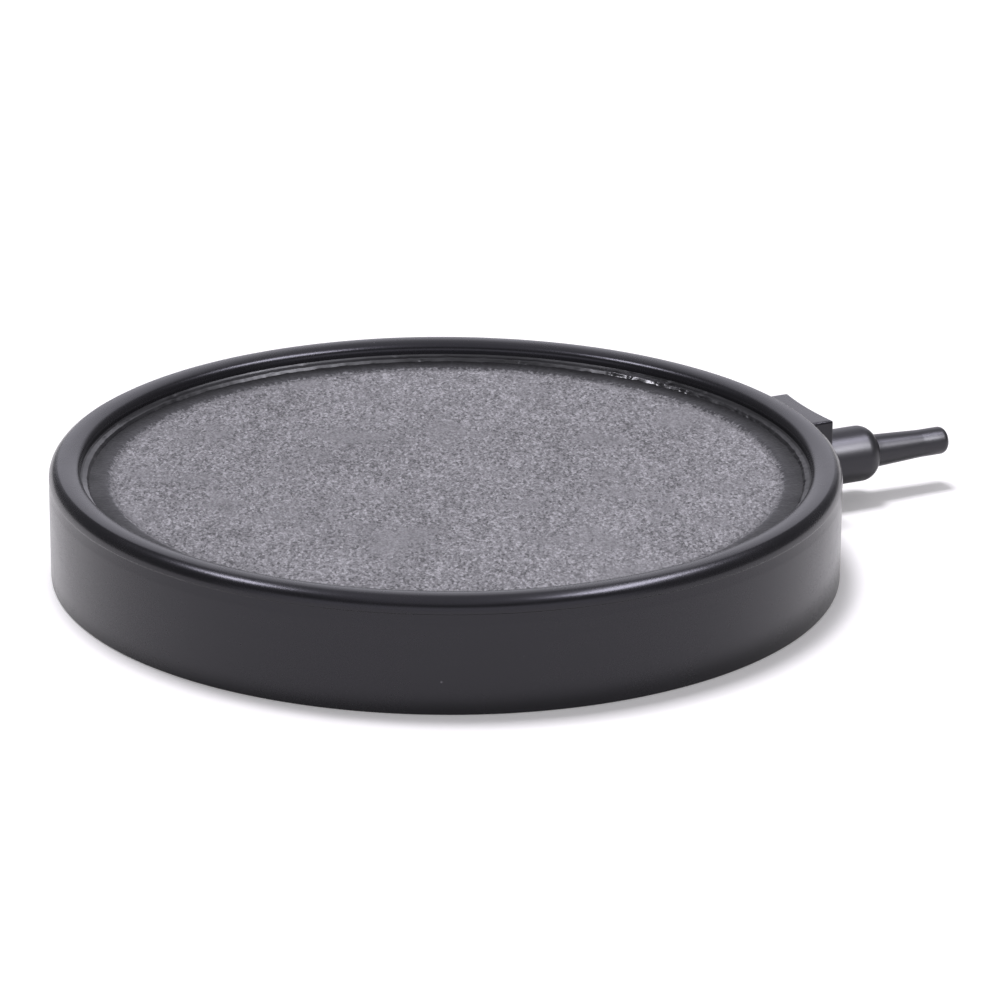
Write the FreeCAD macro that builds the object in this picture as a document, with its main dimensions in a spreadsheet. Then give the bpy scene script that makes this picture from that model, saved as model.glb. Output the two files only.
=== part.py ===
"""Air diffuser disc for aquariums and ponds, in millimetres.

A round moulded tray holds a bonded mineral disc over a shallow air chamber. Air comes in through a
stepped hose nozzle in a boss on the tray's side and leaves as fine bubbles through the open middle
of the stone, whose margin is coated so that no air slips out along the edge.

Frame: the origin is the centre of the underside, +Z is up and +X runs along the nozzle's axis.
"""
import FreeCAD, Part
import math
import os

import Sketcher

V = FreeCAD.Vector
TINY = 1e-6

# ---------------------------------------------------------------- driving dimensions
DIMENSIONS = {
    # tray
    "tray_radius": 65.0,
    "tray_height": 19.0,
    "rim_inner_radius": 59.8,
    "rim_crown_radius": 4.625,
    "rim_crown_rise": 0.8,
    "rim_web": 2.5,
    "rim_outer_round": 2.4,
    "rim_inner_round": 1.4,
    "base_chamfer": 0.25,
    "skirt_thickness": 1.9,
    "inner_wall": 1.7,
    "floor_thickness": 2.2,
    # support of the stone
    "support_height": 10.2,
    "ring_rib_inner": 56.0,
    "ring_rib_outer": 57.6,
    "post_radius": 2.0,
    "near_post_circle": 22.0,
    "far_post_circle": 42.0,
    # stiffening ribs between the skirt and the inner wall
    "rib_thickness": 1.4,
    "rib_foot": 2.0,
    "rib_sunk": 0.5,
    # nozzle boss
    "boss_half_width": 8.0,
    "boss_reach": 68.6,
    "boss_drop": 1.35,
    "boss_root": 63.5,
    "boss_face_radius": 61.0,
    "boss_round": 0.45,
    "boss_hollow_start": 62.3,
    "boss_hollow_end": 65.4,
    "boss_hollow_half": 6.0,
    "duct_radius": 5.2,
    "duct_start": 60.4,
    "duct_end": 66.0,
    # air way through the boss
    "axis_height": 7.85,
    "socket_mouth": 66.6,
    "socket_mouth_radius": 5.1,
    "socket_depth": 61.2,
    "socket_radius": 3.35,
    "air_hole_end": 55.0,
    "air_hole_radius": 1.5,
    "outside": 70.0,
    # stone and adhesives
    "bedding_thickness": 0.3,
    "bedding_margin": 0.1,
    "stone_radius": 59.0,
    "stone_thickness": 5.1,
    "coat_inner_radius": 54.9,
    "coat_thickness": 0.38,
    "coat_edge": 0.12,
    "coat_slope": 0.6,
    "bead_top_drop": 2.1,
    "bead_shoulder_radius": 58.8,
    "bead_shoulder_rise": 0.5,
    "bead_inner_radius": 58.4,
    "bead_hollow_radius": 3.0,
    "bead_foot": 11.0,
    # nozzle
    "spigot_radius": 3.1,
    "neck_radius": 4.5,
    "collar_start": 68.4,
    "collar_radius": 4.8,
    "collar_end": 78.1,
    "shoulder_end": 80.9,
    "shoulder_bow": 3.0,
    "pipe_root_radius": 2.85,
    "pipe_land_start": 90.2,
    "pipe_radius": 2.38,
    "pipe_end": 95.4,
    "pipe_tip_round": 1.2,
    "nozzle_bore": 1.1,
}
NEAR_POSTS = 6
FAR_POSTS = 12
STIFFENING_RIBS = 15

doc = FreeCAD.newDocument("air_diffuser_disc")
sheet = doc.addObject("Spreadsheet::Sheet", "Sizes")
for row, (word, number) in enumerate(DIMENSIONS.items(), start=1):
    sheet.set("A%d" % row, word)
    sheet.set("B%d" % row, str(number))
    sheet.setAlias("B%d" % row, word)
doc.recompute()


class Size:
    """A length that knows its number and the spreadsheet expression that gives it."""

    def __init__(self, number, text):
        self.number = number
        self.text = text

    def __add__(self, other):
        return Size(self.number + other.number, "(%s + %s)" % (self.text, other.text))

    def __sub__(self, other):
        return Size(self.number - other.number, "(%s - %s)" % (self.text, other.text))

    def __neg__(self):
        return Size(-self.number, "(-%s)" % self.text)


def size(word):
    return Size(float(sheet.get(word)), "Sizes." + word)


ZERO = Size(0.0, "0 mm * 0")


# ---------------------------------------------------------------- building helpers
def new_body(label):
    body = doc.addObject("PartDesign::Body", label)
    body.Label = label
    return body


def origin_plane(body, role):
    return next(plane for plane in body.Origin.OriginFeatures if plane.Role == role)


def new_sketch(body, name, role, offset=None):
    """A sketch on one of the body's own planes, lifted off it by offset."""
    sketch = body.newObject("Sketcher::SketchObject", name)
    sketch.AttachmentSupport = (origin_plane(body, role), [""])
    sketch.MapMode = "FlatFace"
    if offset is not None:
        sketch.AttachmentOffset = FreeCAD.Placement(V(0, 0, offset.number), FreeCAD.Rotation())
        sketch.setExpression("AttachmentOffset.Base.z", offset.text)
    doc.recompute()
    return sketch


def pin_point(sketch, line, end, corner):
    """Hold one end of a line at a corner given as two sizes."""
    x, y = corner
    for kind, measure, axis in (("DistanceX", x, -2), ("DistanceY", y, -1)):
        if measure is ZERO:
            sketch.addConstraint(Sketcher.Constraint("PointOnObject", line, end, axis))
            continue
        index = sketch.addConstraint(
            Sketcher.Constraint(kind, -1, 1, line, end, measure.number))
        sketch.setExpression("Constraints[%d]" % index, measure.text)


def bowed_edge(start, end, radius, side):
    """An arc of the given radius from start to end, its middle on the left (side 1) or right (-1)."""
    chord = end - start
    half = chord.Length / 2
    middle = (start + end) * 0.5
    sideways = V(-chord.y, chord.x, 0).normalize() * side
    depth = radius - math.sqrt(radius ** 2 - half ** 2)
    return Part.Arc(start, middle + sideways * depth, end)


def draw_outline(sketch, corners, bows=None):
    """A closed outline through the corners; bows gives {edge number: (radius, side)} for its arcs."""
    bows = bows or {}
    points = [V(x.number, y.number, 0) for x, y in corners]
    count = len(points)
    ends = []
    for number in range(count):
        start, end = points[number], points[(number + 1) % count]
        if number in bows:
            radius, side = bows[number]
            edge = bowed_edge(start, end, radius.number, side)
            index = sketch.addGeometry(edge, False)
            turned = (sketch.getPoint(index, 1) - start).Length > TINY
            ends.append((2, 1) if turned else (1, 2))
        else:
            sketch.addGeometry(Part.LineSegment(start, end), False)
            ends.append((1, 2))
    for number in range(count):
        following = (number + 1) % count
        sketch.addConstraint(Sketcher.Constraint(
            "Coincident", number, ends[number][1], following, ends[following][0]))
    for number, corner in enumerate(corners):
        pin_point(sketch, number, ends[number][0], corner)
    for number, (radius, _side) in bows.items():
        index = sketch.addConstraint(Sketcher.Constraint("Radius", number, radius.number))
        sketch.setExpression("Constraints[%d]" % index, radius.text)
    doc.recompute()


def draw_circle(sketch, centre, radius):
    x, y = centre
    sketch.addGeometry(Part.Circle(V(x.number, y.number, 0), V(0, 0, 1), radius.number), False)
    pin_point(sketch, 0, 3, centre)
    index = sketch.addConstraint(Sketcher.Constraint("Radius", 0, radius.number))
    sketch.setExpression("Constraints[%d]" % index, radius.text)
    doc.recompute()


def revolve(body, name, corners, bows=None):
    """Turn an outline of (radius, height) corners round the body's own Z axis."""
    sketch = new_sketch(body, name + "_outline", "XZ_Plane")
    draw_outline(sketch, corners, bows)
    feature = body.newObject("PartDesign::Revolution", name)
    feature.Profile = sketch
    feature.ReferenceAxis = (sketch, ["V_Axis"])
    feature.Angle = 360
    doc.recompute()
    return feature


def extrude(body, kind, name, sketch, length, backwards=False):
    """A Pad or a Pocket, with a check that it really added or removed material."""
    before = body.Shape.Volume if not body.Shape.isNull() else 0.0
    feature = body.newObject("PartDesign::" + kind, name)
    feature.Profile = sketch
    feature.Length = length.number
    feature.setExpression("Length", length.text)
    feature.Reversed = backwards
    doc.recompute()
    change = feature.Shape.Volume - before
    if (change > 0) != (kind == "Pad"):
        raise RuntimeError("%s changed the volume by %.3f" % (name, change))
    return feature


def repeat_round(body, name, feature, count):
    """Repeat a feature round the Z axis."""
    pattern = body.newObject("PartDesign::PolarPattern", name)
    pattern.Originals = [feature]
    pattern.Axis = (next(a for a in body.Origin.OriginFeatures if a.Role == "Z_Axis"), [""])
    pattern.Angle = 360
    pattern.Occurrences = count
    body.Tip = pattern
    doc.recompute()
    return pattern


def soften(body, name, kind, feature, amount, wanted):
    """Fillet or chamfer the edges of a feature that wanted() picks."""
    names = ["Edge%d" % (number + 1)
             for number, edge in enumerate(feature.Shape.Edges) if wanted(edge)]
    if not names:
        raise RuntimeError(name + " found no edge")
    softened = body.newObject("PartDesign::" + kind, name)
    softened.Base = (feature, names)
    word = "Radius" if kind == "Fillet" else "Size"
    setattr(softened, word, amount.number)
    softened.setExpression(word, amount.text)
    doc.recompute()
    return softened


def on_circle(radius, height):
    """Picks a full circle round Z of this radius at this height."""
    def wanted(edge):
        curve = edge.Curve
        return (isinstance(curve, Part.Circle) and abs(curve.Radius - radius.number) < 0.01
                and abs(curve.Center.z - height.number) < 0.01)
    return wanted


# ---------------------------------------------------------------- shared levels
tray_radius = size("tray_radius")
tray_height = size("tray_height")
rim_inner_radius = size("rim_inner_radius")
rim_edge = tray_height - size("rim_crown_rise")
web_underside = tray_height - size("rim_web")
skirt_inner = tray_radius - size("skirt_thickness")
wall_outer = rim_inner_radius + size("inner_wall")
floor_top = size("floor_thickness")
stone_underside = size("support_height") + size("bedding_thickness")
stone_top = stone_underside + size("stone_thickness")
coat_top = stone_top + size("coat_thickness")
axis_height = size("axis_height")


# ---------------------------------------------------------------- tray
def make_tray():
    """Floor, inner wall, rim web and skirt in one section, with posts, ribs and the nozzle boss."""
    body = new_body("tray")
    section = revolve(body, "tray_section", [
        (ZERO, ZERO),
        (wall_outer, ZERO),
        (wall_outer, web_underside),
        (skirt_inner, web_underside),
        (skirt_inner, ZERO),
        (tray_radius, ZERO),
        (tray_radius, rim_edge),
        (rim_inner_radius, rim_edge),
        (rim_inner_radius, floor_top),
        (ZERO, floor_top),
    ], {6: (size("rim_crown_radius"), -1)})
    outer = soften(body, "rim_outer_edge", "Fillet", section, size("rim_outer_round"),
                   on_circle(tray_radius, rim_edge))
    inner = soften(body, "rim_inner_edge", "Fillet", outer, size("rim_inner_round"),
                   on_circle(rim_inner_radius, rim_edge))
    soften(body, "base_edge", "Chamfer", inner, size("base_chamfer"),
           on_circle(tray_radius, ZERO))
    add_stone_supports(body)
    add_stiffening_ribs(body)
    add_boss(body)
    cut_air_way(body)
    return body


def add_stone_supports(body):
    """A ring rib near the wall and two circles of posts, all level, carry the stone."""
    ring_inner = size("ring_rib_inner")
    ring_outer = size("ring_rib_outer")
    revolve(body, "ring_rib", [
        (ring_inner, floor_top),
        (ring_outer, floor_top),
        (ring_outer, size("support_height")),
        (ring_inner, size("support_height")),
    ])
    rise = stone_underside - floor_top
    centre_sketch = new_sketch(body, "centre_post_circle", "XY_Plane", floor_top)
    draw_circle(centre_sketch, (ZERO, ZERO), size("post_radius"))
    extrude(body, "Pad", "centre_post", centre_sketch, rise)
    for name, circle, count in (("near_posts", size("near_post_circle"), NEAR_POSTS),
                                ("far_posts", size("far_post_circle"), FAR_POSTS)):
        sketch = new_sketch(body, name + "_circle", "XY_Plane", floor_top)
        draw_circle(sketch, (circle, ZERO), size("post_radius"))
        first = extrude(body, "Pad", name + "_first", sketch, rise)
        repeat_round(body, name, first, count)


def add_stiffening_ribs(body):
    """Thin ribs tie the skirt to the inner wall; the first is opposite the nozzle."""
    half = Size(size("rib_thickness").number / 2, "Sizes.rib_thickness / 2")
    sunk = size("rib_sunk")
    sketch = new_sketch(body, "rib_plan", "XY_Plane", size("rib_foot"))
    inner = -(wall_outer - sunk)
    outer = -(skirt_inner + sunk)
    draw_outline(sketch, [(outer, -half), (inner, -half), (inner, half), (outer, half)])
    first = extrude(body, "Pad", "first_rib", sketch, web_underside - size("rib_foot"))
    repeat_round(body, "stiffening_ribs", first, STIFFENING_RIBS)


def add_boss(body):
    """A block on the skirt with a hollowed end face, cored from below round the nozzle's duct."""
    half = size("boss_half_width")
    root = size("boss_root")
    reach = size("boss_reach")
    plan = new_sketch(body, "boss_plan", "XY_Plane")
    draw_outline(plan, [(root, -half), (reach, -half), (reach, half), (root, half)],
                 {1: (size("boss_face_radius"), 1)})
    boss_top = tray_height - size("boss_drop")
    block = extrude(body, "Pad", "boss", plan, boss_top)
    face_start = reach.number - 0.01

    def outer_edge(edge):
        xs = [vertex.Point.x for vertex in edge.Vertexes]
        low = max(vertex.Point.z for vertex in edge.Vertexes) < TINY
        return min(xs) > face_start and not low

    soften(body, "boss_edges", "Fillet", block, size("boss_round"), outer_edge)

    hollow = new_sketch(body, "boss_hollow_plan", "XY_Plane")
    side = size("boss_hollow_half")
    start = size("boss_hollow_start")
    end = size("boss_hollow_end")
    draw_outline(hollow, [(start, -side), (end, -side), (end, side), (start, side)])
    extrude(body, "Pocket", "boss_hollow", hollow, boss_top - size("rim_web"), True)

    duct = new_sketch(body, "duct_circle", "YZ_Plane", size("duct_start"))
    draw_circle(duct, (ZERO, axis_height), size("duct_radius"))
    extrude(body, "Pad", "duct", duct, size("duct_end") - size("duct_start"))


def cut_air_way(body):
    """The nozzle's stepped socket and the air hole that opens into the chamber."""
    steps = (("socket_mouth", size("outside"), size("socket_mouth"), size("socket_mouth_radius")),
             ("socket", size("outside"), size("socket_depth"), size("socket_radius")),
             ("air_hole", size("outside"), size("air_hole_end"), size("air_hole_radius")))
    for name, start, end, radius in steps:
        sketch = new_sketch(body, name + "_circle", "YZ_Plane", start)
        draw_circle(sketch, (ZERO, axis_height), radius)
        extrude(body, "Pocket", name, sketch, start - end)


# ---------------------------------------------------------------- stone and its adhesives
def make_stone():
    """The porous mineral disc that turns the air into fine bubbles."""
    body = new_body("stone_disc")
    revolve(body, "stone", [
        (ZERO, stone_underside),
        (size("stone_radius"), stone_underside),
        (size("stone_radius"), stone_top),
        (ZERO, stone_top),
    ])
    return body


def make_bedding_ring():
    """Adhesive between the ring rib and the stone's underside."""
    body = new_body("bedding_ring")
    inner = size("ring_rib_inner") + size("bedding_margin")
    outer = size("ring_rib_outer") - size("bedding_margin")
    revolve(body, "bedding", [
        (inner, size("support_height")),
        (outer, size("support_height")),
        (outer, stone_underside),
        (inner, stone_underside),
    ])
    return body


def make_margin_coat():
    """Resin coat that closes the pores along the stone's margin."""
    body = new_body("margin_coat")
    inner = size("coat_inner_radius")
    revolve(body, "coat", [
        (inner, stone_top),
        (size("stone_radius"), stone_top),
        (size("stone_radius"), coat_top),
        (inner + size("coat_slope"), coat_top),
        (inner, stone_top + size("coat_edge")),
    ])
    return body


def make_edge_bead():
    """Sealant that fills the gap round the stone, lies over the coat's edge and climbs a little up the wall."""
    body = new_body("edge_bead")
    stone_radius = size("stone_radius")
    revolve(body, "bead", [
        (stone_radius, size("bead_foot")),
        (rim_inner_radius, size("bead_foot")),
        (rim_inner_radius, tray_height - size("bead_top_drop")),
        (size("bead_shoulder_radius"), coat_top + size("bead_shoulder_rise")),
        (size("bead_inner_radius"), coat_top),
        (stone_radius, coat_top),
    ], {2: (size("bead_hollow_radius"), 1)})
    return body


# ---------------------------------------------------------------- nozzle
def lay_along_x(body):
    """Turn a body that was made round Z so that it lies round the nozzle's axis."""
    body.Placement = FreeCAD.Placement(V(0, 0, axis_height.number),
                                       FreeCAD.Rotation(V(0, 1, 0), 90))
    body.setExpression("Placement.Base.z", axis_height.text)


def make_nozzle():
    """Stepped hose nozzle: the thin pipe takes a small air hose and the collar a wide one."""
    body = new_body("hose_nozzle")
    bore = size("nozzle_bore")
    section = revolve(body, "nozzle_section", [
        (bore, size("socket_depth")),
        (size("spigot_radius"), size("socket_depth")),
        (size("spigot_radius"), size("socket_mouth")),
        (size("neck_radius"), size("socket_mouth")),
        (size("neck_radius"), size("collar_start")),
        (size("collar_radius"), size("collar_start")),
        (size("collar_radius"), size("collar_end")),
        (size("pipe_root_radius"), size("shoulder_end")),
        (size("pipe_radius"), size("pipe_land_start")),
        (size("pipe_radius"), size("pipe_end")),
        (bore, size("pipe_end")),
    ], {6: (size("shoulder_bow"), -1)})
    soften(body, "pipe_tip", "Fillet", section, size("pipe_tip_round"),
           on_circle(size("pipe_radius"), size("pipe_end")))
    lay_along_x(body)
    return body


def make_nozzle_bond():
    """Thin sleeve of adhesive that holds the nozzle's spigot in its socket."""
    body = new_body("nozzle_bond")
    revolve(body, "bond", [
        (size("spigot_radius"), size("socket_depth")),
        (size("socket_radius"), size("socket_depth")),
        (size("socket_radius"), size("socket_mouth")),
        (size("spigot_radius"), size("socket_mouth")),
    ])
    lay_along_x(body)
    return body


# ---------------------------------------------------------------- build, check and write
def check_document(bodies):
    for item in doc.Objects:
        faults = [word for word in item.State if word in ("Invalid", "Error")]
        if faults:
            raise RuntimeError("%s is %s" % (item.Name, faults))
    for body in bodies:
        if body.Shape.isNull() or not body.Shape.isValid() or len(body.Shape.Solids) != 1:
            raise RuntimeError(body.Label + " is not one valid solid")


pieces = [make_tray(), make_stone(), make_bedding_ring(), make_margin_coat(), make_edge_bead(),
          make_nozzle(), make_nozzle_bond()]
doc.recompute()
check_document(pieces)
os.makedirs("parts", exist_ok=True)
for piece in pieces:
    piece.Shape.exportStep("parts/%s.step" % piece.Label)
    print("%-14s %9.1f mm3" % (piece.Label, piece.Shape.Volume))
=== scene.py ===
import math

import bmesh
import bpy
import numpy as np
from mathutils import Matrix, Vector, noise


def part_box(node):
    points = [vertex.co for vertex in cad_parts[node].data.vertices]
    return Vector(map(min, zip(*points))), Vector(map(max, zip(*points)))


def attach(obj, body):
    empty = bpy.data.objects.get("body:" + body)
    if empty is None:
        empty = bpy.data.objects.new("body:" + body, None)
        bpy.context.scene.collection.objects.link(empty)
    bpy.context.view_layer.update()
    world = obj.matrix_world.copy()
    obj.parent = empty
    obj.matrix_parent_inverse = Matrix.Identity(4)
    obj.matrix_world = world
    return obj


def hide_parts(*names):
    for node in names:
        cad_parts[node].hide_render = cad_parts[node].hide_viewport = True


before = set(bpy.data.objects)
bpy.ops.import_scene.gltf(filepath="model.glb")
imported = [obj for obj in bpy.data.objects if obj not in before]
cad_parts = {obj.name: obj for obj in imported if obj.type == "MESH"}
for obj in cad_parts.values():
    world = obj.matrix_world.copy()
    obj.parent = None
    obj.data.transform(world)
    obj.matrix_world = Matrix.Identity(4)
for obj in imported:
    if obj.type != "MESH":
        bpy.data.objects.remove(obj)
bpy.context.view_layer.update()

MM = 0.001
rng = np.random.default_rng(7)

# ------------------------------------------------------------------ sizes
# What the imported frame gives, in metres.
TRAY_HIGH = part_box("tray")[1]
STONE_LOW, STONE_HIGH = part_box("stone_disc")
COAT_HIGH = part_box("margin_coat")[1]
BEAD_LOW, BEAD_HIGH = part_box("edge_bead")
NOZZLE_LOW, NOZZLE_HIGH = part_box("hose_nozzle")
BOND_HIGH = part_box("nozzle_bond")[1]

TRAY_RADIUS = TRAY_HIGH.y
TRAY_TOP = TRAY_HIGH.z
WALL_RADIUS = BEAD_HIGH.y
BOSS_REACH = TRAY_HIGH.x
STONE_RADIUS = STONE_HIGH.y
STONE_TOP = STONE_HIGH.z
STONE_UNDER = STONE_LOW.z
COAT_TOP = COAT_HIGH.z
BEAD_TOP = BEAD_HIGH.z
AXIS_HEIGHT = (NOZZLE_LOW.z + NOZZLE_HIGH.z) / 2
COLLAR_RADIUS = NOZZLE_HIGH.y
PIPE_END = NOZZLE_HIGH.x
SOCKET_DEPTH = NOZZLE_LOW.x
SOCKET_MOUTH = BOND_HIGH.x
SOCKET_RADIUS = BOND_HIGH.y

# Tray moulding, as the CAD part has it.
RIM_WEB = 2.5 * MM
RIM_OUTER_ROUND = 2.4 * MM
RIM_CROWN_RADIUS = 4.625 * MM
RIM_CROWN_RISE = 0.8 * MM
RIM_INNER_ROUND = 1.4 * MM
# Points on the crown, outwards from the rim's middle in mm. They stop short of where the edge rounds begin.
CROWN_STATIONS = (1.1, 0.7, 0.35, 0, -0.35, -0.7, -1.1, -1.4, -1.7)
BASE_ROUND = 0.25 * MM
SKIRT = 1.9 * MM
INNER_WALL = 1.7 * MM
FLOOR = 2.2 * MM
RING_RIB = (56.0 * MM, 57.6 * MM)
SUPPORT_HEIGHT = 10.2 * MM
POST_RADIUS = 2.0 * MM
POST_CIRCLES = ((0.0, 1), (22 * MM, 6), (42 * MM, 12))
RIBS = 15
RIB_HALF = 0.7 * MM
RIB_FOOT = 2.0 * MM
BOSS_HALF = 8.0 * MM
BOSS_DROP = 1.35 * MM
BOSS_ROOT = 63.5 * MM
BOSS_FACE_RADIUS = 61.0 * MM
BOSS_ROUND = 0.4 * MM
BOSS_HOLLOW = (62.3 * MM, 65.4 * MM)
BOSS_HOLLOW_HALF = 6.0 * MM
DUCT_RADIUS = 5.2 * MM
DUCT = (60.4 * MM, 66.0 * MM)
SOCKET_MOUTH_RADIUS = 5.1 * MM
AIR_HOLE_RADIUS = 1.5 * MM
AIR_HOLE_END = 55.0 * MM
SINK_DEPTH = 0.16 * MM
SINK_LENGTH = 1.9 * MM

# Stone, coat and bead.
COAT_INNER = 54.9 * MM
BEAD_INNER = 58.4 * MM
BEAD_SHOULDER = 58.78 * MM
BEAD_FOOT = BEAD_LOW.z

# Nozzle.
SPIGOT_RADIUS = 3.1 * MM
NECK_RADIUS = 4.5 * MM
COLLAR_START = 68.4 * MM
COLLAR_END = 78.1 * MM
SHOULDER_END = 80.9 * MM
SHOULDER_BOW = 3.0 * MM
PIPE_ROOT_RADIUS = 2.85 * MM
PIPE_LAND_START = 90.2 * MM
PIPE_RADIUS = 2.38 * MM
PIPE_TIP_ROUND = 1.2 * MM
PIPE_FILLET = 0.12 * MM
NOZZLE_BORE = 1.1 * MM

TURN = 2 * math.pi
NOZZLE_TURN = 26.2  # degrees that the nozzle points away from the viewer's right
# How much longer the stone's grain is along the main view; 1 gives grain with no direction.
GRAIN_STRETCH = 1.9
FLOOR_GLOW = 0.15


# ------------------------------------------------------------------ outlines and lathe work
def rounded(corners, steps=5):
    """An outline through (a, b, radius) corners, with each corner that has a radius turned into an arc."""
    points = []
    for number, (a, b, radius) in enumerate(corners):
        here = Vector((a, b))
        if radius == 0 or number in (0, len(corners) - 1):
            points.append(here)
            continue
        before = (Vector(corners[number - 1][:2]) - here).normalized()
        after = (Vector(corners[number + 1][:2]) - here).normalized()
        half = before.angle(after) / 2
        reach = radius / math.tan(half)
        centre = here + (before + after).normalized() * (radius / math.sin(half))
        start = here + before * reach - centre
        end = here + after * reach - centre
        sweep = start.angle_signed(end)
        for step in range(steps + 1):
            turn = Matrix.Rotation(-sweep * step / steps, 2)
            points.append(centre + turn @ start)
    return points


def subdivided(points, longest):
    """The same line with extra points so that no stretch is longer than longest."""
    out = [points[0]]
    for start, end in zip(points, points[1:]):
        parts = max(1, math.ceil((end - start).length / longest))
        out.extend(start.lerp(end, part / parts) for part in range(1, parts + 1))
    return out


def lathe(points, turns, closed=False, shape=None):
    """Turn (radius, height) points round Z; shape(angle, radius, height) may move each point a little."""
    mesh = bmesh.new()
    rings = []
    for radius, height in points:
        if radius < 1e-7:
            rings.append([mesh.verts.new((0, 0, height))])
            continue
        ring = []
        for step in range(turns):
            angle = TURN * step / turns
            r, z = shape(angle, radius, height) if shape else (radius, height)
            ring.append(mesh.verts.new((r * math.cos(angle), r * math.sin(angle), z)))
        rings.append(ring)
    pairs = list(zip(rings, rings[1:])) + ([(rings[-1], rings[0])] if closed else [])
    for low, high in pairs:
        for step in range(turns):
            following = (step + 1) % turns
            if len(low) == 1 and len(high) == 1:
                continue
            if len(low) == 1:
                mesh.faces.new((low[0], high[following], high[step]))
            elif len(high) == 1:
                mesh.faces.new((low[step], low[following], high[0]))
            else:
                mesh.faces.new((low[step], low[following], high[following], high[step]))
    bmesh.ops.recalc_face_normals(mesh, faces=mesh.faces)
    return mesh


def make_piece(name, mesh, sharp_degrees=32):
    """A smooth-shaded object from a bmesh, with its real edges kept sharp."""
    data = bpy.data.meshes.new(name)
    mesh.to_mesh(data)
    mesh.free()
    data.shade_smooth()
    data.set_sharp_from_angle(angle=math.radians(sharp_degrees))
    piece = bpy.data.objects.new(name, data)
    bpy.context.scene.collection.objects.link(piece)
    return piece


def cylinder_tool(radius, start, end, sides=64):
    """A closed cylinder along +Z from start to end."""
    return lathe([Vector((0, start)), Vector((radius, start)), Vector((radius, end)),
                  Vector((0, end))], sides)


def block_tool(low, high):
    mesh = bmesh.new()
    bmesh.ops.create_cube(mesh, size=1.0)
    low, high = Vector(low), Vector(high)
    span = high - low
    for vert in mesh.verts:
        vert.co = (low + high) / 2 + Vector(v * s for v, s in zip(vert.co, span))
    return mesh


def combine(piece, mesh, operation):
    """Join a closed mesh to a piece, or cut it out of it, and keep only the result."""
    tool = make_piece("tool", mesh)
    step = piece.modifiers.new("combine", "BOOLEAN")
    step.operation = operation
    step.solver = "EXACT"
    step.object = tool
    graph = bpy.context.evaluated_depsgraph_get()
    result = bpy.data.meshes.new_from_object(piece.evaluated_get(graph))
    piece.modifiers.clear()
    old = piece.data
    piece.data = result
    bpy.data.meshes.remove(old)
    bpy.data.objects.remove(tool)


def along_x(mesh, height):
    """Lay a mesh that was made round Z along +X at this height."""
    mesh.transform(Matrix.Translation((0, 0, height)) @ Matrix.Rotation(math.pi / 2, 4, "Y"))
    return mesh


def wave(angle, count, phase):
    return math.sin(count * angle + phase)


# ------------------------------------------------------------------ tray
def tray_shape(angle, radius, height):
    """The slight unevenness of a moulded ring: a few hundredths of a millimetre."""
    swell = 0.018 * wave(angle, 3, 0.4) + 0.012 * wave(angle, 7, 2.1) + 0.006 * wave(angle, 19, 1.0)
    outward = max(0.0, min(1.0, (radius - WALL_RADIUS) / (TRAY_RADIUS - WALL_RADIUS)))
    lift = 0.014 * wave(angle, 5, 1.3) + 0.008 * wave(angle, 11, 0.2)
    top = max(0.0, min(1.0, (height - (TRAY_TOP - RIM_WEB)) / RIM_WEB))
    return radius + (swell - 0.036) * MM * outward, height + (lift - 0.022) * MM * top


def tray_section():
    skirt_inner = TRAY_RADIUS - SKIRT
    wall_outer = WALL_RADIUS + INNER_WALL
    web_under = TRAY_TOP - RIM_WEB
    rib_in, rib_out = RING_RIB
    sink_top = web_under
    rim_edge = TRAY_TOP - RIM_CROWN_RISE
    rim_middle = (TRAY_RADIUS + WALL_RADIUS) / 2
    crown = []
    for across in CROWN_STATIONS:
        fall = RIM_CROWN_RADIUS - math.sqrt(RIM_CROWN_RADIUS ** 2 - (across * MM) ** 2)
        crown.append((rim_middle + across * MM, TRAY_TOP - fall, 0))
    corners = [
        (0, 0, 0),
        (wall_outer, 0, 0.2 * MM),
        (wall_outer, web_under, 0.3 * MM),
        (skirt_inner, web_under, 0.3 * MM),
        (skirt_inner, 0, 0.2 * MM),
        (TRAY_RADIUS, 0, BASE_ROUND),
        (TRAY_RADIUS, sink_top - SINK_LENGTH, 6 * MM),
        (TRAY_RADIUS - SINK_DEPTH, sink_top - 0.15 * MM, 0.25 * MM),
        (TRAY_RADIUS, sink_top, 0.12 * MM),
        (TRAY_RADIUS, rim_edge, RIM_OUTER_ROUND),
        *crown,
        (WALL_RADIUS, rim_edge, RIM_INNER_ROUND),
        (WALL_RADIUS, FLOOR, 0.6 * MM),
        (rib_out, FLOOR, 0.2 * MM),
        (rib_out, SUPPORT_HEIGHT, 0),
        (rib_in, SUPPORT_HEIGHT, 0),
        (rib_in, FLOOR, 0.2 * MM),
        (0, FLOOR, 0),
    ]
    return rounded(corners, 6)


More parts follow.
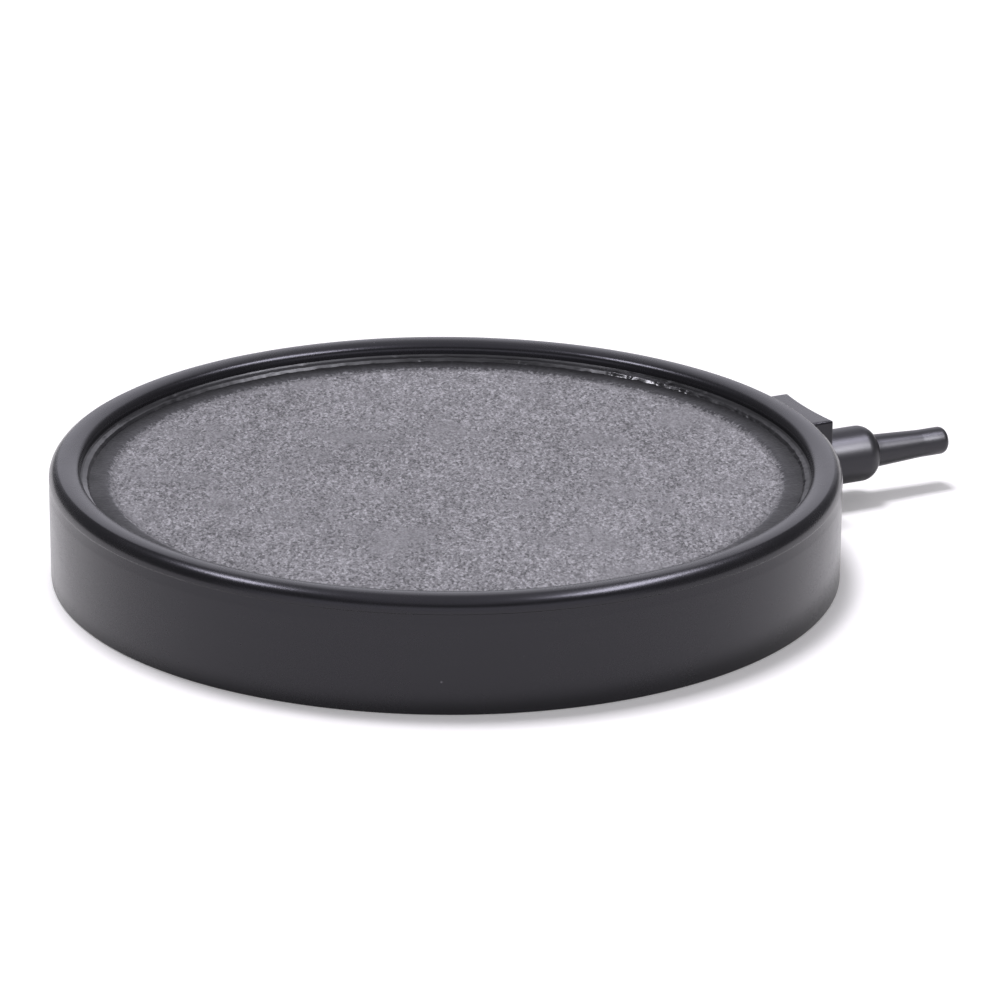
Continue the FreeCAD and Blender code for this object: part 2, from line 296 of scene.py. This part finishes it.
def boss_block():
    """The nozzle boss: its end face is hollowed a little and its outer edges are rounded."""
    steps = 14
    half_angle = math.asin(BOSS_HALF / BOSS_FACE_RADIUS)
    centre_x = BOSS_REACH + BOSS_FACE_RADIUS * math.cos(half_angle)
    plan = [(BOSS_ROOT, -BOSS_HALF)]
    for step in range(steps + 1):
        angle = -half_angle + 2 * half_angle * step / steps
        plan.append((centre_x - BOSS_FACE_RADIUS * math.cos(angle), BOSS_FACE_RADIUS * math.sin(angle)))
    plan.append((BOSS_ROOT, BOSS_HALF))
    mesh = bmesh.new()
    base = mesh.faces.new([mesh.verts.new((x, y, 0)) for x, y in plan])
    lifted = bmesh.ops.extrude_face_region(mesh, geom=[base])
    tops = [item for item in lifted["geom"] if isinstance(item, bmesh.types.BMVert)]
    bmesh.ops.translate(mesh, verts=tops, vec=(0, 0, TRAY_TOP - BOSS_DROP))
    bmesh.ops.recalc_face_normals(mesh, faces=mesh.faces)
    outer = []
    for edge in mesh.edges:
        low = max(vert.co.z for vert in edge.verts) < 1e-6
        out = min(vert.co.x for vert in edge.verts) > BOSS_ROOT + 1e-6
        crease = edge.calc_face_angle() > math.radians(30)
        if crease and not low and (out or edge.verts[0].co.z == edge.verts[1].co.z):
            outer.append(edge)
    bmesh.ops.bevel(mesh, geom=outer, offset=BOSS_ROUND, segments=4, profile=0.5,
                    affect="EDGES", clamp_overlap=True)
    return mesh


def make_tray():
    tray = make_piece("tray_moulding", lathe(tray_section(), 288, shape=tray_shape))
    combine(tray, boss_block(), "UNION")
    hollow = block_tool((BOSS_HOLLOW[0], -BOSS_HOLLOW_HALF, -1 * MM),
                        (BOSS_HOLLOW[1], BOSS_HOLLOW_HALF, TRAY_TOP - BOSS_DROP - RIM_WEB))
    combine(tray, hollow, "DIFFERENCE")
    combine(tray, along_x(cylinder_tool(DUCT_RADIUS, *DUCT), AXIS_HEIGHT), "UNION")
    for radius, start, end in ((SOCKET_MOUTH_RADIUS, SOCKET_MOUTH, BOSS_REACH + 2 * MM),
                               (SOCKET_RADIUS, SOCKET_DEPTH, BOSS_REACH + 2 * MM),
                               (AIR_HOLE_RADIUS, AIR_HOLE_END, BOSS_REACH + 2 * MM)):
        combine(tray, along_x(cylinder_tool(radius, start, end), AXIS_HEIGHT), "DIFFERENCE")
    for number in range(RIBS):
        rib = block_tool((WALL_RADIUS + INNER_WALL - 0.5 * MM, -RIB_HALF, RIB_FOOT),
                         (TRAY_RADIUS - SKIRT + 0.5 * MM, RIB_HALF, TRAY_TOP - RIM_WEB + 0.5 * MM))
        rib.transform(Matrix.Rotation(math.pi + TURN * number / RIBS, 4, "Z"))
        combine(tray, rib, "UNION")
    for circle, count in POST_CIRCLES:
        for number in range(count):
            post = cylinder_tool(POST_RADIUS, FLOOR - 0.5 * MM, STONE_UNDER, 32)
            place = Matrix.Rotation(TURN * number / count, 4, "Z") @ Matrix.Translation((circle, 0, 0))
            post.transform(place)
            combine(tray, post, "UNION")
    tray.data.shade_smooth()
    tray.data.set_sharp_from_angle(angle=math.radians(28))
    return tray


# ------------------------------------------------------------------ stone, coat, bead
def make_stone():
    """A cast disc of bonded grain; its open face has the grain's real relief."""
    rings = 150
    points = [Vector((0, STONE_UNDER)), Vector((STONE_RADIUS, STONE_UNDER)),
              Vector((STONE_RADIUS, STONE_TOP - 0.02 * MM)),
              Vector((STONE_RADIUS - 0.1 * MM, STONE_TOP - 0.05 * MM))]
    points += [Vector(((COAT_INNER + 0.5 * MM) * (1 - ring / rings), STONE_TOP)) for ring in range(rings)]
    points.append(Vector((0, STONE_TOP)))

    def relief(angle, radius, height):
        if height < STONE_TOP - 0.01 * MM:
            return radius, height
        spot = Vector((radius * math.cos(angle), radius * math.sin(angle), 0)) / MM
        grain = noise.noise(spot * 1.7) + 0.6 * noise.noise(spot * 3.9)
        return radius, height - (0.07 + 0.055 * grain) * MM

    return make_piece("bonded_stone", lathe(points, 480, shape=relief), 80)


def make_coat():
    """Resin brushed over the stone's margin, thinning out towards the open middle."""
    inner = COAT_INNER
    points = [Vector((inner, STONE_TOP - 0.1 * MM)), Vector((STONE_RADIUS, STONE_TOP - 0.1 * MM)),
              Vector((STONE_RADIUS, COAT_TOP - 0.02 * MM))]
    rows = 26
    for row in range(1, rows + 1):
        share = row / rows
        radius = STONE_RADIUS + (inner - STONE_RADIUS) * share
        drop = 0.42 * MM * max(0.0, (share - 0.70) / 0.30) ** 2
        points.append(Vector((radius, COAT_TOP - 0.02 * MM - drop)))

    def relief(angle, radius, height):
        share = (radius - inner) / (STONE_RADIUS - inner)
        edge = max(0.0, 1 - share * 6)
        ragged = (0.25 * noise.noise(Vector((angle * 40, 0, 3)))
                  + 0.20 * noise.noise(Vector((angle * 150, 0, 8))))
        if height > STONE_TOP:
            spot = Vector((radius * math.cos(angle), radius * math.sin(angle), 0)) / MM
            lump = noise.noise(spot * 1.5) + 0.6 * noise.noise(spot * 3.4)
            height -= (0.04 + (0.035 + 0.06 * edge) * lump) * MM
        return radius + ragged * MM * edge, height

    return make_piece("margin_coat_resin", lathe(points, 720, closed=True, shape=relief), 60)


def make_bead():
    """Black sealant round the stone: a low ribbon that climbs the wall, with a ragged, pitted inner edge."""
    top = rounded([
        (WALL_RADIUS, BEAD_TOP, 0),
        (WALL_RADIUS - 0.32 * MM, BEAD_TOP - 0.27 * MM, 0.45 * MM),
        (BEAD_SHOULDER, COAT_TOP + 0.46 * MM, 0.28 * MM),
        (BEAD_INNER, COAT_TOP, 0),
    ], 6)
    points = [Vector((STONE_RADIUS + 0.02 * MM, BEAD_FOOT)), Vector((WALL_RADIUS, BEAD_FOOT))]
    points += subdivided(top, 0.12 * MM)
    points += [Vector((BEAD_INNER + 0.05 * MM, COAT_TOP - 0.1 * MM)),
               Vector((STONE_RADIUS + 0.02 * MM, COAT_TOP - 0.1 * MM))]
    blemishes = [(rng.uniform(0, TURN), rng.uniform(0.25, 0.95), rng.uniform(0.25, 0.6),
                  rng.choice((-1, 1)) * rng.uniform(0.03, 0.12)) for _ in range(90)]
    pits = [(rng.normal(0.15, 0.55), rng.uniform(0.72, 1.0), rng.uniform(0.16, 0.34),
             -rng.uniform(0.12, 0.32)) for _ in range(70)]

    def relief(angle, radius, height):
        if height < COAT_TOP - 0.05 * MM:
            return radius, height
        share = (WALL_RADIUS - radius) / (WALL_RADIUS - BEAD_INNER)
        slow = 0.5 + 0.5 * noise.noise(Vector((math.cos(angle) * 2.2, math.sin(angle) * 2.2, 5)))
        quick = noise.noise(Vector((math.cos(angle) * 26, math.sin(angle) * 26, 9)))
        fine = noise.noise(Vector((math.cos(angle) * 90, math.sin(angle) * 90, 2)))
        r = radius - share ** 2 * (0.30 * (slow - 0.5) + 0.13 * quick + 0.08 * fine) * MM
        z = height - (1 - share) * 0.10 * slow * MM - (0.02 + 0.02 * quick) * MM * share
        for at, across, width, bump in blemishes + pits:
            away_by = math.remainder(angle - at, TURN) * WALL_RADIUS / MM
            beside = (share - across) * 1.6
            gap = (away_by ** 2 + beside ** 2) / width ** 2
            if gap < 6:
                z += bump * math.exp(-gap) * MM
        return r, min(z, BEAD_TOP)

    return make_piece("edge_sealant", lathe(points, 900, closed=True, shape=relief), 50)


def make_bedding():
    rib_in, rib_out = RING_RIB
    low, high = SUPPORT_HEIGHT, STONE_UNDER
    corners = [(rib_in + 0.1 * MM, low, 0), (rib_out - 0.1 * MM, low, 0),
               (rib_out - 0.1 * MM, high, 0), (rib_in + 0.1 * MM, high, 0)]
    return make_piece("bedding_adhesive", lathe([Vector(c[:2]) for c in corners], 180, closed=True))


# ------------------------------------------------------------------ nozzle
def make_nozzle():
    """Spigot, neck, collar with a round shoulder, and the thin pipe with its bore open right through."""
    back = rounded([
        (NOZZLE_BORE, SOCKET_DEPTH, 0),
        (SPIGOT_RADIUS, SOCKET_DEPTH, 0.2 * MM),
        (SPIGOT_RADIUS, SOCKET_MOUTH, 0),
        (NECK_RADIUS, SOCKET_MOUTH, 0),
        (NECK_RADIUS, COLLAR_START - 0.1 * MM, 0.05 * MM),
        (COLLAR_RADIUS, COLLAR_START, 0.08 * MM),
        (COLLAR_RADIUS, COLLAR_END, 0),
    ], 8)
    shoulder = []
    rise = COLLAR_RADIUS - SHOULDER_BOW
    whole = math.acos((PIPE_ROOT_RADIUS + PIPE_FILLET - rise) / SHOULDER_BOW)
    for step in range(1, 19):
        angle = whole * step / 18
        shoulder.append(Vector((rise + SHOULDER_BOW * math.cos(angle),
                                COLLAR_END + SHOULDER_BOW * math.sin(angle))))
    front = rounded([
        (*shoulder[-1], 0),
        (PIPE_ROOT_RADIUS, SHOULDER_END, PIPE_FILLET),
        (PIPE_RADIUS, PIPE_LAND_START, 8 * MM),
        (PIPE_RADIUS, PIPE_END, PIPE_TIP_ROUND),
        (NOZZLE_BORE, PIPE_END, 0.15 * MM),
        (NOZZLE_BORE, SOCKET_DEPTH + 1 * MM, 0),
    ], 8)
    points = subdivided(back + shoulder + front[1:], 1.5 * MM)
    mesh = lathe(points, 128, closed=True)
    return make_piece("hose_tail_nozzle", along_x(mesh, AXIS_HEIGHT))


def make_bond():
    corners = [(SPIGOT_RADIUS + 0.01 * MM, SOCKET_DEPTH), (SOCKET_RADIUS - 0.01 * MM, SOCKET_DEPTH),
               (SOCKET_RADIUS - 0.01 * MM, SOCKET_MOUTH), (SPIGOT_RADIUS + 0.01 * MM, SOCKET_MOUTH)]
    mesh = lathe([Vector(c) for c in corners], 96, closed=True)
    return make_piece("nozzle_adhesive", along_x(mesh, AXIS_HEIGHT))


# ------------------------------------------------------------------ finishes
class Amount:
    """A number that varies over a surface. Arithmetic on it adds the Math nodes."""

    def __init__(self, finish, socket):
        self.finish = finish
        self.socket = socket

    def math(self, operation, *values, clamp=False):
        return self.finish.node("ShaderNodeMath", {"operation": operation, "use_clamp": clamp},
                                dict(enumerate(values)))

    def __add__(self, other):
        return self.math("ADD", self, other)

    def __sub__(self, other):
        return self.math("SUBTRACT", self, other)

    def __rsub__(self, other):
        return self.math("SUBTRACT", other, self)

    def __mul__(self, other):
        return self.math("MULTIPLY", self, other)

    def __truediv__(self, other):
        return self.math("DIVIDE", self, other)

    __radd__ = __add__
    __rmul__ = __mul__


class NodeWork:
    """The nodes of one tree."""

    def __init__(self, tree):
        self.tree = tree

    def node(self, kind, settings=None, sockets=None, output=0):
        made = self.tree.nodes.new(kind)
        for name, value in (settings or {}).items():
            if name == "stops":
                ramp = made.color_ramp
                while len(ramp.elements) < len(value):
                    ramp.elements.new(0.5)
                for element, (position, colour) in zip(ramp.elements, value):
                    element.position = position
                    element.color = colour
            else:
                setattr(made, name, value)
        for key, value in (sockets or {}).items():
            if isinstance(value, Amount):
                self.tree.links.new(value.socket, made.inputs[key])
            else:
                made.inputs[key].default_value = value
        return Amount(self, made.outputs[output])

    def between(self, value, low, high, to_low=0.0, to_high=1.0):
        return self.node("ShaderNodeMapRange", {"clamp": True}, {
            "Value": value, "From Min": low, "From Max": high, "To Min": to_low, "To Max": to_high})

    def blend(self, share, first, second):
        return self.node("ShaderNodeMix", {"data_type": "RGBA"}, {0: share, 6: first, 7: second}, 2)


class Finish(NodeWork):
    """One material: a Principled surface and the nodes that vary it."""

    def __init__(self, name, **constants):
        self.material = bpy.data.materials.new(name)
        self.material.use_nodes = True
        super().__init__(self.material.node_tree)
        self.surface = self.tree.nodes["Principled BSDF"]
        for socket, value in constants.items():
            self.surface.inputs[socket.replace("_", " ")].default_value = value

    def feed(self, socket, value):
        self.tree.links.new(value.socket, self.surface.inputs[socket])

    def place(self):
        return self.node("ShaderNodeTexCoord", output="Object")

    def scaled(self, vector, factors):
        return self.node("ShaderNodeVectorMath", {"operation": "MULTIPLY"}, {0: vector, 1: factors})

    def clouds(self, vector, scale, detail=2.0, roughness=0.5, distortion=0.0):
        return self.node("ShaderNodeTexNoise", {}, {
            "Vector": vector, "Scale": scale, "Detail": detail, "Roughness": roughness,
            "Distortion": distortion})

    def cells(self, vector, scale, feature="F1", output="Distance", randomness=1.0):
        return self.node("ShaderNodeTexVoronoi", {"feature": feature},
                         {"Vector": vector, "Scale": scale, "Randomness": randomness}, output)

    def relief(self, height, distance, strength=1.0, under=None):
        sockets = {"Height": height, "Distance": distance, "Strength": strength}
        if under is not None:
            sockets["Normal"] = under
        return self.node("ShaderNodeBump", {}, sockets)


def grey(value, cool=1.04):
    """A neutral tone with a very slight violet cast."""
    return (value, value * 0.985, value * cool, 1.0)


def moulded_plastic(name, index, tone, gloss, streaks):
    """Black moulded plastic: faint flow streaks, a fine bloom, and a little pale dust."""
    finish = Finish(name, IOR=index, Specular_Tint=(0.92, 0.905, 1.0, 1.0))
    place = finish.place()
    bloom = finish.clouds(place, 60, 4, 0.6)
    fine = finish.clouds(place, 2600, 2, 0.6)
    flow = finish.clouds(finish.scaled(place, streaks), 1.0, 3, 0.55)
    speck = finish.cells(place, 420)
    chance = finish.cells(place, 420, output="Color")
    rare = finish.between(finish.node("ShaderNodeSeparateColor", {}, {"Color": chance}), 0.975, 0.98)
    dust = finish.between(speck, 0.06, 0.11, 0.6, 0.0) * rare
    tint = finish.blend(finish.between(bloom + flow * 0.5, 0.5, 1.1), grey(tone * 0.85), grey(tone * 1.25))
    finish.feed("Base Color", finish.blend(dust, tint, grey(0.14)))
    finish.feed("Roughness", finish.between(bloom * 0.5 + fine * 0.3 + flow * 0.2, 0.3, 0.7,
                                            gloss - 0.05, gloss + 0.07) + dust * 0.3)
    skin = finish.relief(fine, 0.012 * MM, 0.35)
    finish.feed("Normal", finish.relief(bloom + dust * 0.4, 0.05 * MM, 0.5, skin))
    return finish.material


def bonded_mineral():
    """Grey grains in a binder: light and dark grains, pits between them with painted shade in their hollows,
    and faint broad mottling.
    """
    finish = Finish("bonded_mineral", IOR=1.5, Specular_IOR_Level=0.25)
    whole = finish.place()
    place = finish.node("ShaderNodeMapping", {"vector_type": "TEXTURE"}, {
        "Vector": whole, "Rotation": (0, 0, -math.radians(NOZZLE_TURN)), "Scale": (1, GRAIN_STRETCH, 1)})
    grains = finish.node("ShaderNodeSeparateColor", {}, {"Color": finish.cells(place, 3900, output="Color")})
    coarse = finish.node("ShaderNodeSeparateColor", {}, {"Color": finish.cells(place, 2200, output="Color")},
                         output="Green")
    gaps = finish.cells(place, 1950)
    pits = finish.clouds(place, 2200, 3, 0.7)
    mottle = finish.clouds(place, 150, 4, 0.7)
    broad = finish.clouds(place, 34, 3, 0.6)
    # The pits pattern is also the bump's height below, so its share here darkens the hollows: painted shade
    # in the pits.
    shade = grains * 0.32 + coarse * 0.30 + pits * 0.34 + mottle * 0.24 + broad * 0.20
    calm = finish.between(finish.clouds(whole, 70, 3, 0.6), 0.52, 0.66, 1.0, 0.45)
    tone = finish.node("ShaderNodeValToRGB", {"stops": (
        (0.46, grey(0.084, 1.0)), (0.60, grey(0.151, 1.0)), (0.70, grey(0.190, 1.0)),
        (0.80, grey(0.226, 1.0)), (0.97, grey(0.345, 1.0)))}, {"Fac": (shade - 0.70) * calm + 0.70})
    radius = finish.node("ShaderNodeVectorMath", {"operation": "LENGTH"},
                         {0: finish.scaled(whole, (1, 1, 0))}, "Value")
    soaked = finish.between(radius + pits * 1.2 * MM, COAT_INNER - 0.5 * MM, COAT_INNER + 1.6 * MM, 0.0, 0.8)
    finish.feed("Base Color", finish.blend(soaked, tone, grey(0.045, 1.0)))
    finish.feed("Roughness", finish.between(grains, 0.0, 1.0, 0.95, 0.72))
    hollow = finish.relief(1.0 - gaps, 0.22 * MM, 1.0)
    finish.feed("Normal", finish.relief(pits, 0.20 * MM, 0.8, hollow))
    return finish.material


def soaked_resin():
    """Dark resin in the grain of the margin: brushed streaks that run outwards, dull with a few wet spots."""
    finish = Finish("soaked_resin", IOR=1.5, Specular_IOR_Level=0.30)
    place = finish.place()
    axes = finish.node("ShaderNodeSeparateXYZ", {}, {"Vector": place})
    across = Amount(finish, axes.socket.node.outputs["Y"])
    radius = finish.node("ShaderNodeVectorMath", {"operation": "LENGTH"},
                         {0: finish.scaled(place, (1, 1, 0))}, "Value")
    angle = across.math("ARCTAN2", across, axes)
    polar = finish.node("ShaderNodeCombineXYZ", {}, {"X": angle * 95, "Y": radius * 260, "Z": 0.0})
    streak = finish.clouds(polar, 1.0, 4, 0.65)
    grain = finish.clouds(place, 1700, 3, 0.65)
    patch = finish.clouds(place, 130, 3, 0.5)
    inward = finish.between(radius, COAT_INNER, COAT_INNER + 3.4 * MM, 1.0, 0.0)
    shade = streak * 0.42 + grain * 0.40 + patch * 0.12 + inward * 0.30
    tone = finish.node("ShaderNodeValToRGB", {"stops": (
        (0.33, grey(0.003)), (0.50, grey(0.007)), (0.70, grey(0.028)), (0.90, grey(0.085)))},
        {"Fac": shade})
    speckle = finish.node("ShaderNodeValToRGB", {"stops": (
        (0.35, grey(0.06, 1.0)), (0.50, grey(0.15, 1.0)), (0.65, grey(0.24, 1.0)))}, {"Fac": grain})
    bare = finish.between(radius - (grain - 0.5) * 2.0 * MM,
                          COAT_INNER - 0.2 * MM, COAT_INNER + 0.6 * MM, 1.0, 0.0)
    finish.feed("Base Color", finish.blend(bare, tone, speckle))
    finish.feed("Roughness", finish.between(patch, 0.35, 0.65, 0.45, 0.60))
    finish.feed("Normal", finish.relief(grain + streak * 0.4, 0.09 * MM, 0.7))
    return finish.material


def wet_sealant():
    """Black sealant with a wet gloss and soft ripples from the nozzle that laid it."""
    finish = Finish("wet_sealant", IOR=1.48)
    place = finish.place()
    ripple = finish.clouds(place, 190, 2, 0.4)
    fine = finish.clouds(place, 900, 3, 0.5)
    finish.feed("Base Color", finish.blend(ripple, grey(0.006), grey(0.014)))
    dull = finish.between(finish.clouds(place, 26, 2, 0.5), 0.42, 0.60, 0.0, 0.26)
    finish.feed("Roughness", finish.between(fine * 0.5 + ripple * 0.5, 0.3, 0.7, 0.09, 0.22) + dull)
    finish.feed("Normal", finish.relief(ripple + fine * 0.15, 0.12 * MM, 0.45))
    return finish.material


def pale_floor():
    finish = Finish("pale_floor", Roughness=0.9, Specular_IOR_Level=0.1,
                    Emission_Color=(1, 1, 1, 1), Emission_Strength=FLOOR_GLOW)
    place = finish.place()
    finish.feed("Base Color", finish.blend(finish.clouds(place, 3, 2), grey(0.92, 0.94), grey(0.94, 0.94)))
    return finish.material


# ------------------------------------------------------------------ studio
# The room is dim, with a white sheet behind the disc, a low one in front of it and a faintly lit roof. Each
# pair of numbers says where an edge begins and ends to fade, as a part of the way to the side, back or top.
SHEET_HALF_WIDTH = (0.28, 0.46)
BACK_SHEET = (0.10, 0.40)
BACK_SHEET_TOP = (0.60, 0.74)
SHEET_FOOT = (0.02, 0.12)
FRONT_SHEET = (-0.70, -0.40)
FRONT_SHEET_TOP = (0.30, 0.46)
ROOF = (0.62, 0.80)
SHEET_GLOW = 1.15
ROOF_GLOW = 0.75
ROOM = 0.18

# Soft boxes: parts of the way right, away and up, then distance, width and height in metres, and power.
LEFT_BOX = ((-0.55, 0.0, 0.83), 0.9, 0.22, 0.18, 3.0)
RIGHT_BOX = ((0.50, -0.06, 0.865), 0.9, 0.50, 0.20, 6.0)
FLOOR_BOX = ((-0.11, 0.20, 0.97), 1.8, 0.44, 0.44, 23.2)
NOZZLE_BOX = ((0.64, -0.37, 0.67), 0.9, 0.30, 0.30, 10.0)


def tinted(brightness):
    """The studio's light, which is a very slightly violet white."""
    return (brightness, brightness * 0.985, brightness * 1.09, 1.0)


def soft_light(name, box, right, away):
    """A rectangular soft box that faces the disc; right and away are the viewer's."""
    (to_right, to_back, to_top), distance, width, height, power = box
    toward = to_right * right + to_back * away + to_top * Vector((0, 0, 1))
    data = bpy.data.lights.new(name, "AREA")
    data.shape = "RECTANGLE"
    data.size = width
    data.size_y = height
    data.energy = power
    data.color = tinted(1.0)[:3]
    lamp = bpy.data.objects.new(name, data)
    lamp.location = toward.normalized() * distance
    lamp.rotation_mode = "QUATERNION"
    lamp.rotation_quaternion = (-lamp.location).to_track_quat("-Z", "Y")
    bpy.context.scene.collection.objects.link(lamp)
    return lamp


def make_studio(right, away):
    """Pale floor, white surroundings, and soft boxes for the pieces, the floor and the nozzle."""
    floor_mesh = bmesh.new()
    bmesh.ops.create_grid(floor_mesh, x_segments=1, y_segments=1, size=6.0)
    floor = make_piece("studio_floor", floor_mesh)
    floor.location.z = -0.02 * MM
    floor.data.materials.append(pale_floor())
    world = bpy.data.worlds.new("white_studio")
    world.use_nodes = True
    room = NodeWork(world.node_tree)
    toward = room.node("ShaderNodeTexCoord", output="Generated")
    aside = room.node("ShaderNodeVectorMath", {"operation": "DOT_PRODUCT"}, {0: toward, 1: right}, "Value")
    behind = room.node("ShaderNodeVectorMath", {"operation": "DOT_PRODUCT"}, {0: toward, 1: away}, "Value")
    above = room.node("ShaderNodeSeparateXYZ", {}, {"Vector": toward}, "Z")
    centred = room.between(aside.math("ABSOLUTE", aside), *SHEET_HALF_WIDTH, 1.0, 0.0)
    back = centred * room.between(behind, *BACK_SHEET) * room.between(above, *SHEET_FOOT)
    back = back * room.between(above, *BACK_SHEET_TOP, 1.0, 0.0)
    front = room.between(behind, *FRONT_SHEET, 1.0, 0.0) * room.between(above, *FRONT_SHEET_TOP, 1.0, 0.0)
    roof = centred * room.between(above, *ROOF)
    colour = room.blend(roof, tinted(ROOM), tinted(ROOF_GLOW))
    colour = room.blend(front, colour, tinted(SHEET_GLOW))
    colour = room.blend(back, colour, tinted(SHEET_GLOW))
    room.tree.links.new(colour.socket, room.tree.nodes["Background"].inputs["Color"])
    bpy.context.scene.world = world
    on_pieces = [soft_light("left_box", LEFT_BOX, right, away),
                 soft_light("right_box", RIGHT_BOX, right, away)]
    on_floor = soft_light("floor_box", FLOOR_BOX, right, away)
    on_nozzle = soft_light("nozzle_box", NOZZLE_BOX, right, away)
    on_nozzle.data.color = (1, 1, 1)
    light_only(on_floor, [floor])
    return on_pieces, on_nozzle


def light_only(lamp, things):
    """Flag a lamp off everything but the given things."""
    lit = bpy.data.collections.new("lit_by_" + lamp.name)
    for thing in things:
        lit.objects.link(thing)
    lamp.light_linking.receiver_collection = lit


CAMERA_ELEVATION = 20.0
CAMERA_ROLL = 0.45
CAMERA_DISTANCE = 12.0  # in tray radii
AIM_RIGHT = 8.84 * MM
AIM_HEIGHT = 11.36 * MM
LENS = 170.75


def make_camera():
    """A long lens a little above the rim, turned so that the nozzle points right and slightly away."""
    nozzle_turn = math.radians(NOZZLE_TURN)
    elevation = math.radians(CAMERA_ELEVATION)
    roll = math.radians(CAMERA_ROLL)
    distance = CAMERA_DISTANCE * TRAY_RADIUS
    away = Vector((math.sin(nozzle_turn), math.cos(nozzle_turn), 0))
    right = Vector((math.cos(nozzle_turn), -math.sin(nozzle_turn), 0))
    forward = away * math.cos(elevation) - Vector((0, 0, math.sin(elevation)))
    up = right.cross(forward)
    rolled_right = right * math.cos(roll) + up * math.sin(roll)
    rolled_up = up * math.cos(roll) - right * math.sin(roll)
    target = right * AIM_RIGHT + Vector((0, 0, AIM_HEIGHT))
    data = bpy.data.cameras.new("camera")
    data.sensor_width = 36
    data.lens = LENS
    data.clip_start = 0.05
    camera = bpy.data.objects.new("camera", data)
    place = Matrix((rolled_right, rolled_up, -forward)).transposed().to_4x4()
    place.translation = target - forward * distance
    camera.matrix_world = place
    bpy.context.scene.collection.objects.link(camera)
    bpy.context.scene.camera = camera
    return right, away


# ------------------------------------------------------------------ assembly
right, away = make_camera()
piece_boxes, nozzle_box = make_studio(right, away)
bpy.context.scene.view_settings.view_transform = "Standard"

tray_finish = moulded_plastic("satin_black_plastic", 1.475, 0.005, 0.25, (30, 30, 300))
nozzle_finish = moulded_plastic("semi_gloss_black_plastic", 1.5, 0.005, 0.36, (60, 400, 400))
stone_finish = bonded_mineral()
coat_finish = soaked_resin()
sealant_finish = wet_sealant()

PIECES = (
    (make_tray, tray_finish, "tray", "tray_plastic"),
    (make_stone, stone_finish, "stone_disc", "mineral"),
    (make_coat, coat_finish, "margin_coat", "coat_resin"),
    (make_bead, sealant_finish, "edge_bead", "sealant"),
    (make_bedding, sealant_finish, "bedding_ring", "sealant"),
    (make_nozzle, nozzle_finish, "hose_nozzle", "nozzle_plastic"),
    (make_bond, sealant_finish, "nozzle_bond", "sealant"),
)
made = {}
for make, finish, node, slot in PIECES:
    piece = make()
    piece.data.materials.clear()
    piece.data.materials.append(finish)
    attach(piece, "root")
    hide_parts(node)
    made[node] = piece
for lamp in piece_boxes:
    light_only(lamp, made.values())
light_only(nozzle_box, [made["hose_nozzle"]])
